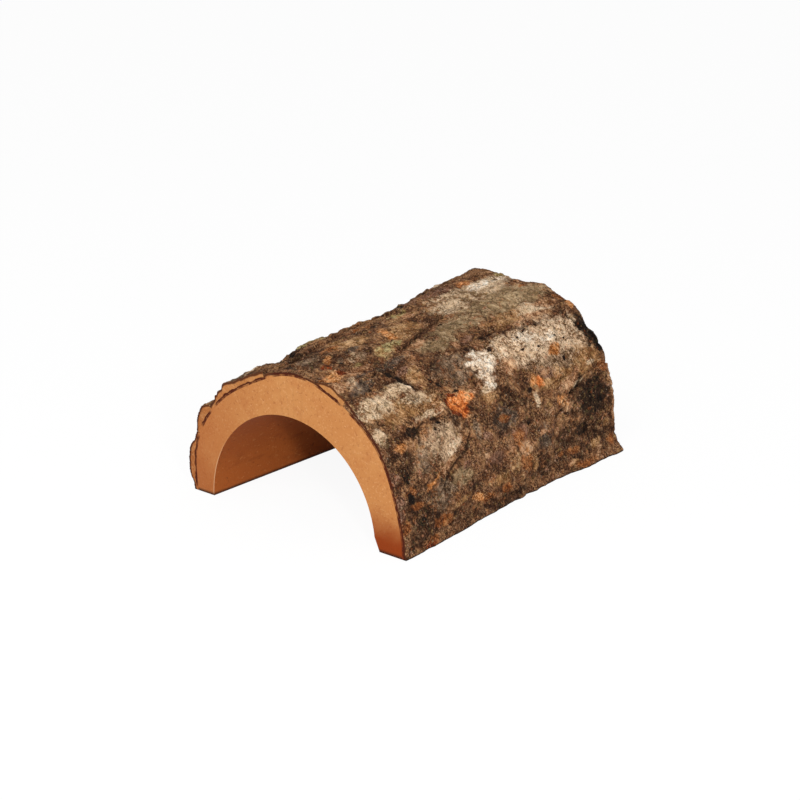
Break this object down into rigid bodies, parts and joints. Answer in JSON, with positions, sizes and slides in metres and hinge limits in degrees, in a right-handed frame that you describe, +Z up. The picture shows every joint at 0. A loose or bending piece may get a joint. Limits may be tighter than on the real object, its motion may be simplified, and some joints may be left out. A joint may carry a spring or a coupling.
{
  "type": "reptile hideout",
  "caption": "Arched shelter for a small reptile: half a hollowed log in its rough bark, open at both ends, standing on flat sawn feet.",
  "frame": {"origin": "on the floor, in the middle of the whole object's box", "axes": "+Y along the log, away from the sawn end that the picture shows; +Z up"},
  "size_m": [0.1598, 0.2086, 0.0945],
  "materials": {
    "sawn_wood": "sawn and bored, matt",
    "inner_bark": "fibrous, matt",
    "outer_bark": "rough, weathered, with lichen"
  },
  "bodies": {
    "root": {"wood_shell": "sawn_wood", "inner_bark": "inner_bark", "right_foot_bark": "outer_bark", "right_rear_foot_bark": "outer_bark", "right_shoulder_bark": "outer_bark", "right_rear_shoulder_bark": "outer_bark", "crown_edge_scale": "outer_bark", "crown_bark": "outer_bark", "crown_left_bark": "outer_bark", "ridge_bark": "outer_bark", "left_high_scale": "outer_bark", "left_shoulder_bark": "outer_bark", "left_mid_scale": "outer_bark", "left_flank_bark": "outer_bark", "left_low_scale": "outer_bark", "left_foot_bark": "outer_bark", "oval_scale": "outer_bark"}
  },
  "joints": []
}
